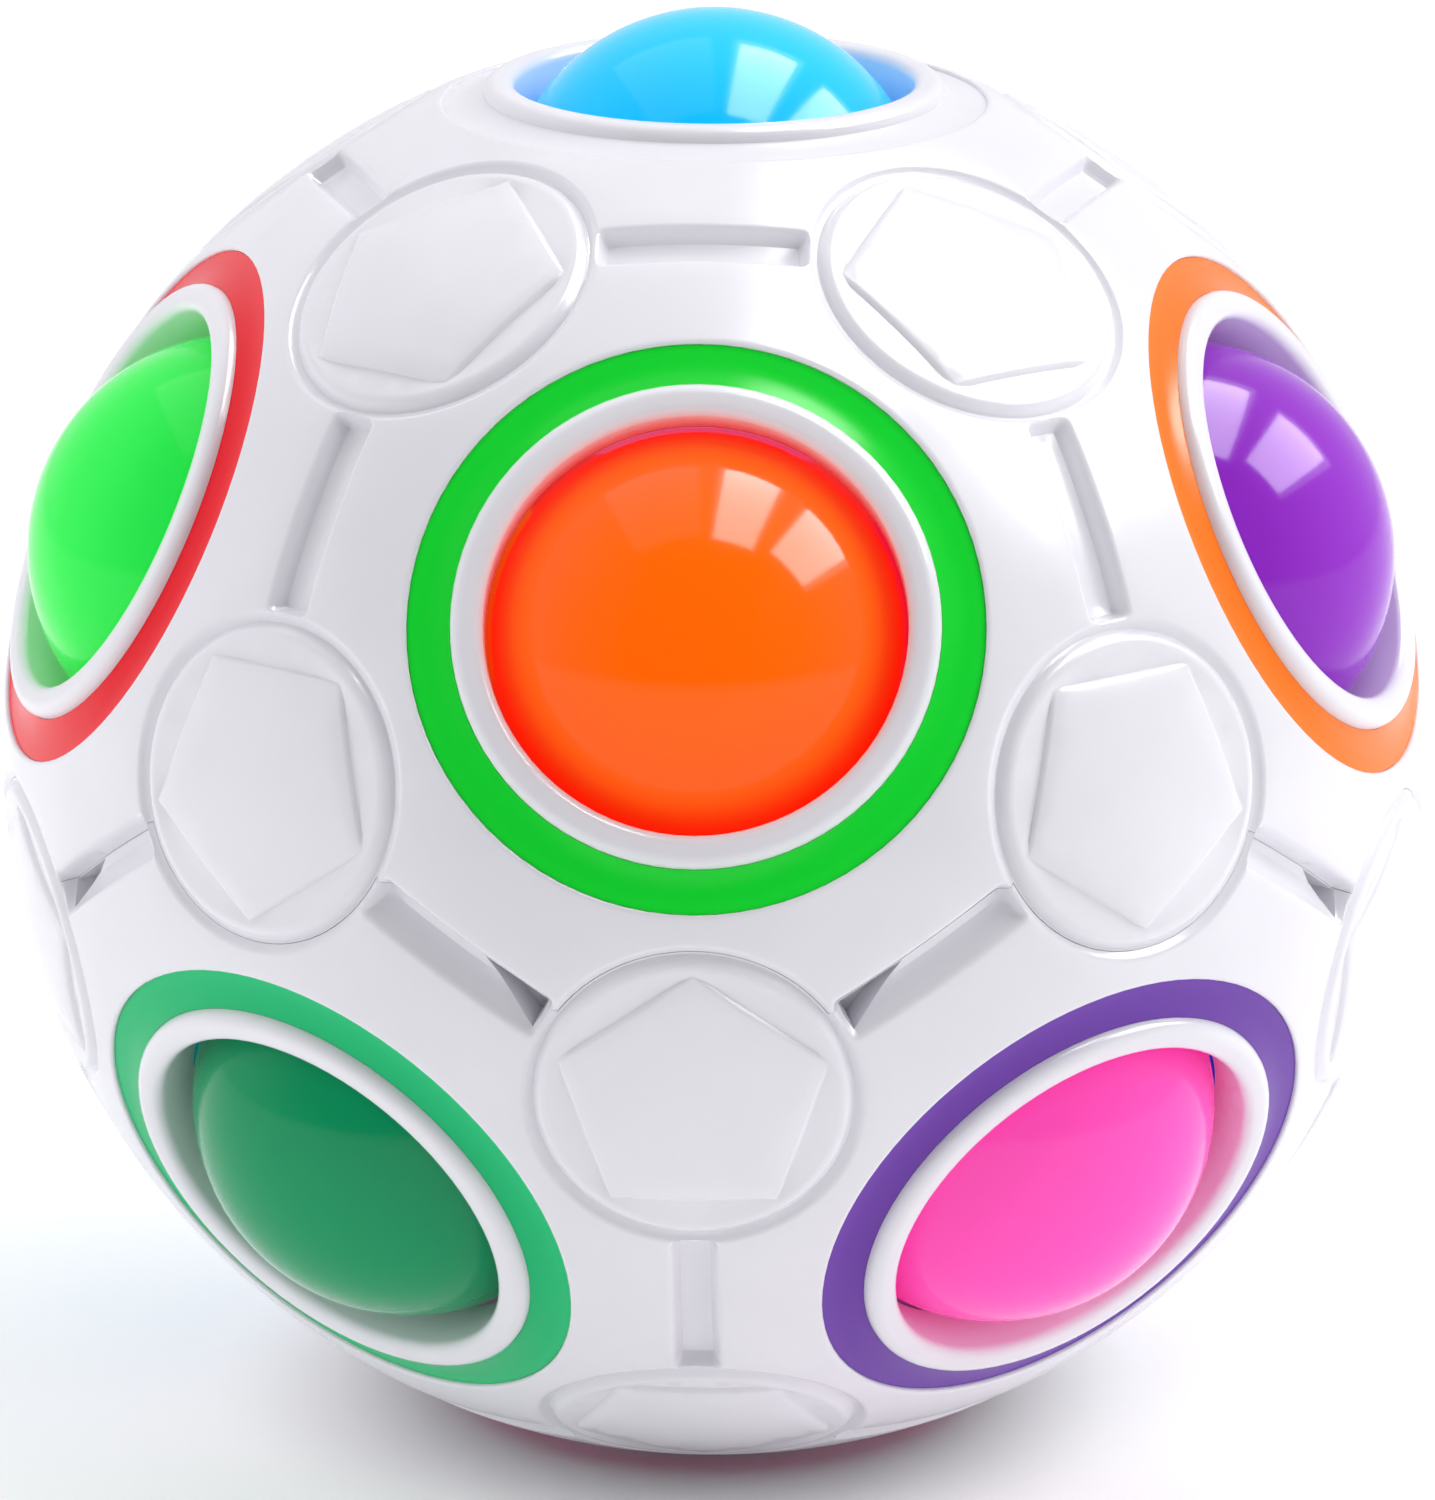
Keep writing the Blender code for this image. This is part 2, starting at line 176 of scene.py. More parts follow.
class SlotFrame:
    """A slot's own coordinates: u from its middle towards the boss at +Z, and v across it."""

    def __init__(self, azimuth):
        self.middle = spot(SHELL_RADIUS * FACE_TO_SLOT, azimuth)
        self.across = Vector((-math.sin(azimuth), math.cos(azimuth), 0.0))
        self.along = self.across.cross(self.middle)
        if self.along.z < 0.0:
            self.along.negate()

    def point(self, u, v):
        a, b = u / SHELL_RADIUS, v / SHELL_RADIUS
        flat = self.middle * math.cos(a) + self.along * math.sin(a)
        return (flat * math.cos(b) + self.across * math.sin(b)).normalized()

    def place(self, p):
        v = SHELL_RADIUS * math.asin(max(-1.0, min(1.0, p.dot(self.across))))
        u = SHELL_RADIUS * math.atan2(p.dot(self.along), p.dot(self.middle))
        return u, v


SLOTS = [SlotFrame(math.radians(a)) for a in (30.0, 150.0, 270.0)]
HOLES = [spot(SHELL_RADIUS * FACE_TO_HOLE, math.radians(a)) for a in (90.0, 210.0, 330.0)]

# The two slots that a parting line runs along, and which way round each one is.
SEAM_SLOTS = ((SLOTS[0], 1), (SLOTS[1], -1))


def slot_distance(p, slot):
    """Signed distance in mm to the outline of a slot, negative inside."""
    u, v = slot.place(p)
    du = abs(u) - (SLOT_HALF_LENGTH - SLOT_CORNER)
    dv = abs(v) - (SLOT_HALF_WIDTH - SLOT_CORNER)
    outside = math.hypot(max(du, 0.0), max(dv, 0.0))
    return outside + min(max(du, dv), 0.0) - SLOT_CORNER


def pentagon_distance(p):
    """Signed distance in mm to the edge of a boss's pentagon, negative inside. Its point is towards +Y."""
    rho, azimuth = rho_of(p), math.atan2(p.y, p.x)
    sector = math.radians(72.0)
    turn = (azimuth - math.radians(90.0)) % sector - sector / 2.0
    return rho * math.cos(turn) - PENTAGON_RADIUS * math.cos(sector / 2.0)


def slot_height(d):
    """Height of the shell's surface at that distance from a slot's outline: lip, wall and dished floor."""
    lip = -0.10 * smooth(-d, -0.16, 0.06)
    wall = -(SLOT_DEPTH - 0.24) * smooth(-d, 0.0, 0.44)
    floor = -0.14 * smooth(-d, 0.34, 1.1)
    return lip + wall + floor


def boss_height(rho, q):
    """Height of a boss: rounded rim, dished ring inside it, and the pentagon's edge and flat top."""
    rim = 0.20 * smooth(rho, 5.7, 6.9) - 0.20
    edge = -0.40 * smooth(rho, 6.8, 7.5) ** 1.6
    top = -0.01
    inside = smooth(-q, -0.16, 0.16)
    groove = -0.10 * (smooth(q, -0.14, 0.08) - smooth(q, 0.1, 0.4)) * (1.0 - smooth(rho, 6.3, 6.75))
    return (rim + edge) * (1.0 - inside) + top * inside + groove


def panel_height(rho):
    """Height of a panel's rounded edge beside the groove round a boss."""
    return -0.36 * (1.0 - smooth(rho, DISC_RADIUS + 0.05, DISC_RADIUS + 0.5))


def slot_share(p, index, lean):
    """How deep a slot is there, as a share of its full depth. A slot on the parting line is deepest
    along its upper edge and slopes up gently from there. The others are shallower and even."""
    if not lean or index >= len(SEAM_SLOTS):
        return EVEN_SHARE
    slot, hand = SEAM_SLOTS[index]
    slope = smooth(slot.place(p)[1] * hand * lean, -SLOT_HALF_WIDTH, 0.35)
    return SHALLOW_SHARE + (1.0 - SHALLOW_SHARE) * slope


def relief(p, lean):
    """How far the shell's outside stands above its sphere at p, a direction in a panel's own frame."""
    rho = rho_of(p)
    if rho <= DISC_RADIUS + 0.02:
        return boss_height(rho, pentagon_distance(p))
    distances = [slot_distance(p, slot) for slot in SLOTS]
    index = distances.index(min(distances))
    return min(panel_height(rho), slot_height(distances[index]) * slot_share(p, index, lean))


class Sketch:
    """Points and lines on one panel, which a Delaunay triangulation then fills."""

    def __init__(self):
        self.points = []
        self.lines = []
        self.cuts = []

    def path(self, points, closed=False, cut=False):
        first = len(self.points)
        self.points += points
        ids = list(range(first, len(self.points)))
        if closed:
            ids.append(first)
        pairs = list(zip(ids, ids[1:]))
        if cut:
            self.cuts += range(len(self.lines), len(self.lines) + len(pairs))
        self.lines += pairs


def spread(start, end, step):
    """Evenly spaced values from start to end, about that far apart."""
    count = max(1, round(abs(end - start) / step))
    return [start + (end - start) * i / count for i in range(count + 1)]


def slot_loop(slot, d, step=0.55):
    """Half of a slot's outline, moved out by d mm, from the panel's edge round the slot's end and back."""
    half_length, half_width = SLOT_HALF_LENGTH + d, SLOT_HALF_WIDTH + d
    corner = max(0.0, SLOT_CORNER + d)
    loop = [(u, half_width) for u in spread(0.0, half_length - corner, step)[:-1]]
    if corner > 0.05:
        u, v = half_length - corner, half_width - corner
        for a in spread(0.0, math.pi / 2.0, math.pi / 8.0):
            loop.append((u + corner * math.sin(a), v + corner * math.cos(a)))
    else:
        loop.append((half_length, half_width))
    end = [(half_length, v) for v in spread(loop[-1][1], -loop[-1][1], step)[1:-1]]
    back = [(u, -v) for u, v in reversed(loop)]
    return [slot.point(u, v) for u, v in loop + end + back]


def pentagon_loop(d):
    """A boss's pentagon, moved out by d mm."""
    radius = PENTAGON_RADIUS + d / math.cos(math.radians(36.0))
    angles = [math.radians(90 + 72 * i) for i in range(5)]
    corners = [Vector((math.cos(a), math.sin(a))) * radius for a in angles]
    loop = []
    for a, b in zip(corners, corners[1:] + corners[:1]):
        loop += [a.lerp(b, t) for t in spread(0.0, 1.0, 0.1)[:-1]]
    return [spot(p.length, math.atan2(p.y, p.x)) for p in loop]


def hole_arc(hole, angle):
    """The part of a circle round a hole that lies in this panel."""
    out = Vector(hole)
    inward = (Vector((0.0, 0.0, 1.0)) - out * out.z).normalized()
    side = out.cross(inward)
    arc = []
    for i in range(HOLE_STEPS // 5 + 1):
        a = math.radians(-36.0 + 360.0 / HOLE_STEPS * i)
        arc.append(out * math.cos(angle) + (inward * math.cos(a) + side * math.sin(a)) * math.sin(angle))
    return arc


def edge_line(slot):
    """The panel's straight edge across a slot, from one hole's circle to the next."""
    reach = SHELL_RADIUS * (HOLE_ANGLE / 2.0 - PANEL_START)
    inner = sorted(SLOT_HALF_WIDTH + d for d in SLOT_OFFSETS)
    outer = spread(inner[-1], reach, 0.9)[1:]
    side = inner + outer
    return [slot.point(0.0, v) for v in [-v for v in reversed(side)] + side]


def seam_lines(sketch, lean):
    """The two edges of the parting line between the shell's halves: along two slots and round the boss
    between them. Lean is 1 where it keeps to the side of the hole at +Y, and -1 on the other side."""
    for sign in (-1, 1):
        rho = SEAM_RHO + sign * SEAM_WIDTH / 2.0
        ends = []
        for slot, hand in SEAM_SLOTS:
            v = hand * (lean * SEAM_OFFSET + sign * SEAM_WIDTH / 2.0)
            u = SHELL_RADIUS * FACE_TO_SLOT - math.sqrt(rho * rho - v * v)
            ends.append([slot.point(t, v) for t in spread(0.0, u, 0.4)])
        start, finish = (math.atan2(e[-1].y, e[-1].x) for e in ends)
        arc = [spot(rho, a) for a in spread(start, finish, 0.075)[1:-1]]
        sketch.path(ends[0] + arc + list(reversed(ends[1])), cut=True)


def flatten(p):
    """Lays a direction on the plane that touches the panel's middle, where great circles are straight."""
    return Vector((p.x / p.z, p.y / p.z))


def raise_up(q):
    return Vector((q.x, q.y, 1.0)).normalized()


def tree_of(points):
    """A look-up of the point nearest to a place."""
    tree = kdtree.KDTree(len(points))
    for i, p in enumerate(points):
        tree.insert(p, i)
    tree.balance()
    return tree


def edges_of(face):
    return [frozenset(pair) for pair in zip(face, face[1:] + face[:1])]


def fill_in(sketch, spacing, clearance):
    """Adds loose points between a sketch's lines, on a grid of triangles."""
    tree = tree_of([p * SHELL_RADIUS for p in sketch.points])
    rows = round(SHELL_RADIUS * 0.9 / spacing)
    for row in range(-rows, rows + 1):
        for column in range(-rows, rows + 1):
            x = (column + 0.5 * (row % 2)) * spacing / SHELL_RADIUS
            y = row * spacing * 0.866 / SHELL_RADIUS
            p = raise_up(Vector((x, y)))
            near_hole = any(p.angle(h) < PANEL_START + clearance / SHELL_RADIUS for h in HOLES)
            outside = any(s.place(p)[0] < clearance for s in SLOTS)
            if near_hole or outside or tree.find(p * SHELL_RADIUS)[2] < clearance:
                continue
            sketch.points.append(p)


def sides_of_seam(faces, centres, barrier):
    """Labels each face that can be reached without crossing the seam: 0 from the boss, and 1 from the
    hole at +Y."""
    by_edge = {}
    for n, face in enumerate(faces):
        for edge in edges_of(face):
            by_edge.setdefault(edge, []).append(n)
    boss = Vector((0.0, 0.0, 1.0))
    beside_hole = spot(SHELL_RADIUS * FACE_TO_HOLE - SHELL_RADIUS * PANEL_START - 0.5, math.pi / 2.0)
    side = {}
    for label, seed in enumerate((boss, beside_hole)):
        start = min(range(len(faces)), key=lambda n: (centres[n] - seed).length)
        if start in side:
            continue
        side[start] = label
        stack = [start]
        while stack:
            for edge in edges_of(faces[stack.pop()]):
                if edge in barrier:
                    continue
                for n in by_edge[edge]:
                    if n not in side:
                        side[n] = label
                        stack.append(n)
    return side


def triangulated(sketch):
    """Triangles between a sketch's points that lie in the panel, each with its side of the seam, or None
    in the seam's gap, and the edges that lie on the seam."""
    flat = [flatten(p) for p in sketch.points]
    coords, edges, faces, _, edge_ids, _ = geometry.delaunay_2d_cdt(flat, sketch.lines, [], 0, 1e-7, True)
    points = [raise_up(q) for q in coords]
    cuts = set(sketch.cuts)
    barrier = {frozenset(e) for e, ids in zip(edges, edge_ids) if cuts.intersection(ids)}
    kept = []
    centres = []
    for face in faces:
        centre = sum((points[i] for i in face), Vector()).normalized()
        in_hole = min(centre.angle(h) for h in HOLES) < PANEL_START + 0.01 / SHELL_RADIUS
        if not in_hole and min(s.place(centre)[0] for s in SLOTS) >= 0.01:
            kept.append(tuple(face))
            centres.append(centre)
    side = sides_of_seam(kept, centres, barrier)
    return points, [(face, side.get(n)) for n, face in enumerate(kept)], barrier


def outer_sketch(lean, pocket):
    """The lines that a panel's outside is made from. Lean is 0 where no parting line crosses it."""
    sketch = Sketch()
    for slot in SLOTS:
        sketch.path(edge_line(slot))
        for d in SLOT_OFFSETS:
            sketch.path(slot_loop(slot, d)[1:-1])
    for hole in HOLES:
        sketch.path(hole_arc(hole, PANEL_START))
        sketch.path(hole_arc(hole, PANEL_START + 0.6 / SHELL_RADIUS)[1:-1])
    for d in DISC_RINGS + PANEL_RINGS:
        ring = [spot(DISC_RADIUS + d, 2.0 * math.pi * i / DISC_STEPS) for i in range(DISC_STEPS)]
        sketch.path(ring, closed=True)
    for d in PENTAGON_OFFSETS:
        sketch.path(pentagon_loop(d), closed=True)
    if lean:
        seam_lines(sketch, lean)
    if pocket:
        for slot, hand in SEAM_SLOTS:
            for inset in (0.0, POCKET_WALL):
                sketch.path([slot.point(u, hand * v) for u, v in pocket_corners(inset)], closed=True)
    return sketch


def pocket_corners(inset):
    """The deep wedge at one end of a seam slot, beside the parting line."""
    far = SLOT_HALF_LENGTH - 0.36 - inset
    near = SLOT_HALF_LENGTH - 4.0 + inset * 6.0
    top = SEAM_OFFSET - SEAM_WIDTH / 2.0 - 0.05 - inset
    return [(near, top), (far, top), (far, -0.74 + inset * 1.4)]


def in_pocket(p):
    """True at the floor of a panel's two wedges."""
    corners = [Vector(c) for c in pocket_corners(POCKET_WALL * 0.9)]
    for slot, hand in SEAM_SLOTS:
        u, v = slot.place(p)
        if geometry.intersect_point_tri_2d(Vector((u, hand * v)), *corners):
            return True
    return False


def open_edges(faces):
    """Edges with a face on one side only, each with that face's side of the seam."""
    labels = {}
    for face, label in faces:
        for edge in edges_of(face):
            labels.setdefault(edge, []).append(label)
    return {edge: found[0] for edge, found in labels.items() if len(found) == 1}


def border_sketch(points, rim, barrier):
    """The lines round a panel's two parts, with nothing between them."""
    border = Sketch()
    place = {}
    for edge in rim:
        for i in sorted(edge):
            if i not in place:
                place[i] = len(border.points)
                border.points.append(points[i])
        if edge in barrier:
            border.cuts.append(len(border.lines))
        border.lines.append(tuple(place[i] for i in sorted(edge)))
    return border


def seam_walls(points, inner_points, offset, rim, barrier):
    """Faces along the seam, from the shell's outside to its inside."""
    near = tree_of(inner_points)
    walls = []
    for edge, label in rim.items():
        if edge in barrier:
            a, b = edge
            c, d = (offset + near.find(points[i])[1] for i in (b, a))
            walls.append(((a, b, c, d), label))
    return walls


def make_panel(lean, pocket):
    """One panel's outside, inside and seam walls, as points in mm and faces with their side of the seam."""
    sketch = outer_sketch(lean, pocket)
    fill_in(sketch, 1.15, 0.5)
    points, faces, barrier = triangulated(sketch)
    verts = []
    for p in points:
        height = relief(p, lean)
        if pocket and in_pocket(p):
            height = -SLOT_DEPTH - POCKET_DEPTH
        verts.append(p * (SHELL_RADIUS + height))
    found = [(face, label) for face, label in faces if label is not None]
    rim = open_edges(found)

    border = border_sketch(points, rim, barrier)
    fill_in(border, 2.2, 1.0)
    inner_points, inner_faces, _ = triangulated(border)
    offset = len(verts)
    verts += [p * SHELL_INNER for p in inner_points]
    for face, label in inner_faces:
        if label is not None:
            found.append((tuple(offset + i for i in reversed(face)), label))
    return verts, found + seam_walls(points, inner_points, offset, rim, barrier)


def hole_profile():
    """The section from a panel's edge, down into the ring's recess, over the collar and down the throat,
    to the inside of the shell."""
    start = (SHELL_RADIUS * math.sin(PANEL_START), SHELL_RADIUS * math.cos(PANEL_START))
    end = (SHELL_INNER * math.sin(PANEL_START), SHELL_INNER * math.cos(PANEL_START))
    lip = [(r, math.sqrt(SHELL_RADIUS**2 - r**2) - drop) for r, drop in RECESS_LIP]
    wall = [(RECESS_RADIUS, RECESS_WALL_TOP), (RECESS_RADIUS, RECESS_FLOOR), (COLLAR_RADIUS, RECESS_FLOOR)]
    throat = [(THROAT_RADIUS, THROAT_TOP), (THROAT_RADIUS, THROAT_BOTTOM)]
    return [start] + lip + wall + collar_profile() + throat + [end]


def collar_profile():
    """The collar's outer wall, its rounded top and the hole's wall."""
    crown, edge = 0.62, 0.5
    outer = [(COLLAR_RADIUS, COLLAR_TOP - 1.2)]
    arc = []
    for i in range(7):
        a = math.pi / 2.0 * i / 6
        arc.append((COLLAR_RADIUS - crown * (1.0 - math.cos(a)), COLLAR_TOP - crown * (1.0 - math.sin(a))))
    inner = []
    for i in range(6):
        a = math.pi / 2.0 * i / 5
        inner.append((HOLE_RADIUS + edge * (1.0 - math.sin(a)), COLLAR_TOP - edge * (1.0 - math.cos(a))))
    return outer + arc + inner + [(HOLE_RADIUS, HOLE_WALL_TOP), (HOLE_RADIUS, LIP_BOTTOM)]


def white_recess_profile():
    """The same section where the recess holds no ring: a shallow white cove in its place."""
    profile = hole_profile()
    deep = [i for i, (r, z) in enumerate(profile) if z in (RECESS_WALL_TOP, RECESS_FLOOR)]
    return profile[: deep[0]] + cove() + profile[deep[-1] + 1 :]


def cove():
    """The painted band's surface, a shallow dish from the recess wall in to the collar."""
    band = []
    for i in range(9):
        t = i / 8
        r = RECESS_RADIUS + (COLLAR_RADIUS - RECESS_RADIUS) * t
        depth = 0.24 + 0.16 * math.sin(math.pi * t) + 0.22 * t * t
        band.append((r, math.sqrt(SHELL_RADIUS**2 - r**2) - depth))
    return band


def panel_turn(face, apex):
    """Turns a panel's own frame to its place: +Z out through its middle and +Y towards its apex hole."""
    out = face.normalized()
    up = (apex - out * apex.dot(out)).normalized()
    return Matrix((up.cross(out), up, out)).transposed()


def lathe_rings(form, profile, steps, turn, closed=False):
    """Adds a turned surface to a bmesh, with its axis along the turn's +Z."""
    rings = []
    for r, z in profile:
        if r < 1e-6:
            rings.append([form.verts.new(turn @ Vector((0.0, 0.0, z)))])
            continue
        rings.append([
            form.verts.new(turn @ Vector((
                r * math.cos(2 * math.pi * i / steps), r * math.sin(2 * math.pi * i / steps), z)))
            for i in range(steps)
        ])
    pairs = list(zip(rings, rings[1:]))
    if closed:
        pairs.append((rings[-1], rings[0]))
    for a, b in pairs:
        for i in range(steps):
            j = (i + 1) % steps
            if len(a) == 1:
                form.faces.new((a[0], b[i], b[j]))
            elif len(b) == 1:
                form.faces.new((a[i], b[0], a[j]))
            else:
                form.faces.new((a[i], b[i], b[j], a[j]))


def are_beside(a, b):
    """True for the axes of two holes that are next to each other."""
    return 0.1 < a.angle(b) < 1.3


def seat_turn(seat):
    """Turns +Z to a hole's axis, and +X to one of its neighbours."""
    out = SEATS[seat]
    beside = next(d for d in SEATS.values() if are_beside(out, d))
    side = (beside - out * beside.dot(out)).normalized()
    return Matrix((side, out.cross(side), out)).transposed()


def holes_round_bosses():
    """The three holes round each boss, each of them beside the other two."""
    return [
        three for three in itertools.combinations(SEATS, 3)
        if all(are_beside(SEATS[a], SEATS[b]) for a, b in itertools.combinations(three, 2))
    ]


def panel_plan(three, upper):
    """A panel's kind, the hole at its +Y, the half that holds its boss, and the half beyond its seam."""
    high = [n for n in three if n in upper]
    low = [n for n in three if n not in upper]
    poles = [n for n in three if n in ("top", "bottom")]
    if poles:
        return "polar", poles[0], "upper" if high else "lower", None
    if len(high) == 1:
        return "under", high[0], "lower", "upper"
    return "over", low[0], "upper", "lower"


def lay_panel(form, panel, label, turn):
    """Adds one side of a panel's seam to a half's bmesh."""
    verts, found = panel
    made = {}
    for face, side in found:
        if side != label:
            continue
        for i in face:
            if i not in made:
                made[i] = form.verts.new(turn @ verts[i])
        if len({made[i] for i in face}) == len(face):
            form.faces.new([made[i] for i in face])


def make_shells():
    upper = {n for n in SEATS if SEATS[n].z > 0.0}
    halves = {"upper": bmesh.new(), "lower": bmesh.new()}
    panels = {"polar": make_panel(0, False), "under": make_panel(1, True), "over": make_panel(-1, False)}
    for three in holes_round_bosses():
        kind, apex, own, beyond = panel_plan(three, upper)
        turn = panel_turn(sum((SEATS[n] for n in three), Vector()), SEATS[apex])
        for label, half in enumerate((own, beyond)):
            if half:
                lay_panel(halves[half], panels[kind], label, turn)
    for n in SEATS:
        profile = white_recess_profile() if n == "top" else hole_profile()
        lathe_rings(halves["upper" if n in upper else "lower"], profile, HOLE_STEPS, seat_turn(n))
    for half, form in halves.items():
        bmesh.ops.remove_doubles(form, verts=form.verts, dist=MERGE_DISTANCE)
        bmesh.ops.dissolve_degenerate(form, edges=form.edges, dist=SLIVER)
        bmesh.ops.transform(form, matrix=Matrix.Translation(CENTRE) @ Matrix.Scale(MM, 4), verts=form.verts)
        dress(mesh_object(f"fine_shell_{half}", form), f"shell_{half}", "shell")


def dress(obj, node, body=None, paint=None):
    """Gives a piece its material, body and slot, and has it stand for a CAD node."""
    slot = SLOT_OF[node]
    obj.data.materials.clear()
    obj.data.materials.append(paint or MATERIALS[slot])
    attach(obj, body or BODY_OF[node])
    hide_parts(node)
    return obj


# --------------------------------------------------------------------------------------------------
# Balls, rings, plungers, springs and core
# --------------------------------------------------------------------------------------------------


def turned_piece(name, profile, steps, turn, offset=Vector(), closed=False):
    """A turned piece whose +Z lies along turn, at offset in mm from the puzzle's centre. Each point keeps
    its height on the axis and its distance from it, in mm, for the finishes."""
    form = bmesh.new()
    lathe_rings(form, profile, steps, Matrix.Identity(3), closed)
    axial = [v.co.z for v in form.verts]
    radial = [math.hypot(v.co.x, v.co.y) for v in form.verts]
    place = Matrix.Translation(CENTRE + offset * MM) @ turn.to_4x4() @ Matrix.Scale(MM, 4)
    bmesh.ops.transform(form, matrix=place, verts=form.verts)
    obj = mesh_object(name, form)
    for label, values in (("axial", axial), ("radial", radial)):
        obj.data.attributes.new(label, "FLOAT", "POINT").data.foreach_set("value", values)
    return obj


def ball_profile():
    """A moulded ball: a fine parting ridge round its middle and a small gate mark at its inner pole."""
    profile = []
    rows = 44
    for i in range(rows + 1):
        a = math.pi * i / rows
        ridge = 0.035 * math.exp(-(((i - rows / 2) * 1.2) ** 2))
        gate = -0.22 * smooth(a, math.pi * 0.955, math.pi * 0.975)
        r = BALL_RADIUS + ridge + gate
        profile.append((0.0 if i in (0, rows) else r * math.sin(a), r * math.cos(a)))
    return profile


def make_balls():
    for seat, node in BALLS.items():
        offset = SEATS[seat] * BALL_SEAT
        ball = turned_piece(f"fine_{node}", ball_profile(), 64, seat_turn(seat), offset)
        dress(ball, node)


def ring_profile():
    """A painted ring: the dished band on top, and a plain section below that fills the recess."""
    gap = 0.02
    band = []
    for r, z in cove():
        band.append((min(max(r, COLLAR_RADIUS + gap), RECESS_RADIUS - gap), z))
    return band + [(COLLAR_RADIUS + gap, RECESS_FLOOR + 0.05), (RECESS_RADIUS - gap, RECESS_FLOOR + 0.05)]


def seat_of(node):
    """The hole that a ring lies round."""
    out = (middle(node) - CENTRE).normalized()
    return min(SEATS, key=lambda n: (SEATS[n] - out).length)


def make_rings():
    for node in RINGS:
        seat = seat_of(node)
        ring = turned_piece(f"fine_{node}", ring_profile(), 96, seat_turn(seat), closed=True)
        dress(ring, node, paint=MATERIALS["ring_" + SLOT_OF[node]])


PLUNGER_APEX = BALL_SEAT - BALL_RADIUS - 0.3
DOME_RADIUS = PLUNGER_APEX - 5.0
HEAD_RADIUS = 5.15
UNDERSIDE = 13.6
CUP_RADIUS = 3.5
CUP_TOP = 14.5
STEM_RADIUS = 1.0
STEM_END = 6.75


def plunger_profile():
    """A plunger's domed head with rolled rim, its spring cup, and its stem with a tapered tip."""
    centre = PLUNGER_APEX - DOME_RADIUS
    rim = math.asin((HEAD_RADIUS - 0.25) / DOME_RADIUS)
    angles = [rim * i / 10 for i in range(11)]
    dome = [(DOME_RADIUS * math.sin(a), centre + DOME_RADIUS * math.cos(a)) for a in angles]
    edge = dome[-1][1]
    rolled = [(HEAD_RADIUS - 0.08, edge - 0.1), (HEAD_RADIUS, edge - 0.28), (HEAD_RADIUS, UNDERSIDE + 0.1)]
    cup = [
        (HEAD_RADIUS - 0.1, UNDERSIDE), (CUP_RADIUS + 0.1, UNDERSIDE), (CUP_RADIUS, UNDERSIDE + 0.1),
        (CUP_RADIUS, CUP_TOP - 0.1), (CUP_RADIUS - 0.1, CUP_TOP),
    ]
    stem = [
        (STEM_RADIUS + 0.2, CUP_TOP), (STEM_RADIUS + 0.03, CUP_TOP - 0.12), (STEM_RADIUS, CUP_TOP - 0.3),
        (STEM_RADIUS, STEM_END + 0.25),
    ]
    return dome + rolled + cup + stem + [(STEM_RADIUS - 0.2, STEM_END), (0.0, STEM_END)]


def make_plungers():
    for seat in SEATS:
        node = f"plunger_{seat}"
        dress(turned_piece(f"fine_{node}", plunger_profile(), 40, seat_turn(seat)), node)


SPRING_RADIUS = 2.45
WIRE_RADIUS = 0.22
SPRING_LOW = 7.05
SPRING_HIGH = 14.45
SPRING_TURNS = 6.0


def coil_mesh():
    """One spring along +Z, in metres, with close end turns."""
    data = bpy.data.curves.new("coil", "CURVE")
    data.dimensions = "3D"
    data.bevel_depth = WIRE_RADIUS * MM
    data.bevel_resolution = 2
    data.use_fill_caps = True
    spline = data.splines.new("POLY")
    count = round(SPRING_TURNS * 20) + 1
    low, high = SPRING_LOW + WIRE_RADIUS, SPRING_HIGH - WIRE_RADIUS
    spline.points.add(count - 1)
    for i, point in enumerate(spline.points):
        t = i / (count - 1)
        a = 2.0 * math.pi * SPRING_TURNS * t
        rise = 0.5 - 0.5 * math.cos(math.pi * t)
        z = low + (high - low) * (0.6 * t + 0.4 * rise)
        point.co = (SPRING_RADIUS * math.cos(a) * MM, SPRING_RADIUS * math.sin(a) * MM, z * MM, 1.0)
    coil = link(bpy.data.objects.new("coil", data))
    mesh = bpy.data.meshes.new_from_object(coil.evaluated_get(bpy.context.evaluated_depsgraph_get()))
    bpy.data.objects.remove(coil)
    return mesh


def make_springs():
    """Coil springs, each one between the core and its plunger."""
    coil = coil_mesh()
    for seat, out in SEATS.items():
        node = f"spring_{seat}"
        form = bmesh.new()
        form.from_mesh(coil)
        bmesh.ops.remove_doubles(form, verts=form.verts, dist=1e-7)
        place = Matrix.Translation(CENTRE) @ seat_turn(seat).to_4x4()
        bmesh.ops.transform(form, matrix=place, verts=form.verts)
        spring = mesh_object(f"fine_{node}", form)
        spring.data.materials.append(MATERIALS[SLOT_OF[node]])
        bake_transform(spring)
        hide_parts(node)


CORE_RADIUS = 8.3
CORE_VOID = 3.0
CORE_GAP = 0.12
CORE_REACH = 12.0
POCKET_RADIUS = 3.1
POCKET_FLOOR = 7.0
TUBE_RADIUS = 1.8
TUBE_FOOT = 5.0
TUBE_TOP = 9.2
BORE_RADIUS = 1.2


def core_ball(radius, subdivisions):
    form = bmesh.new()
    turn = Matrix.Rotation(0.2, 4, "X")
    bmesh.ops.create_icosphere(form, subdivisions=subdivisions, radius=radius * MM, matrix=turn)
    return form


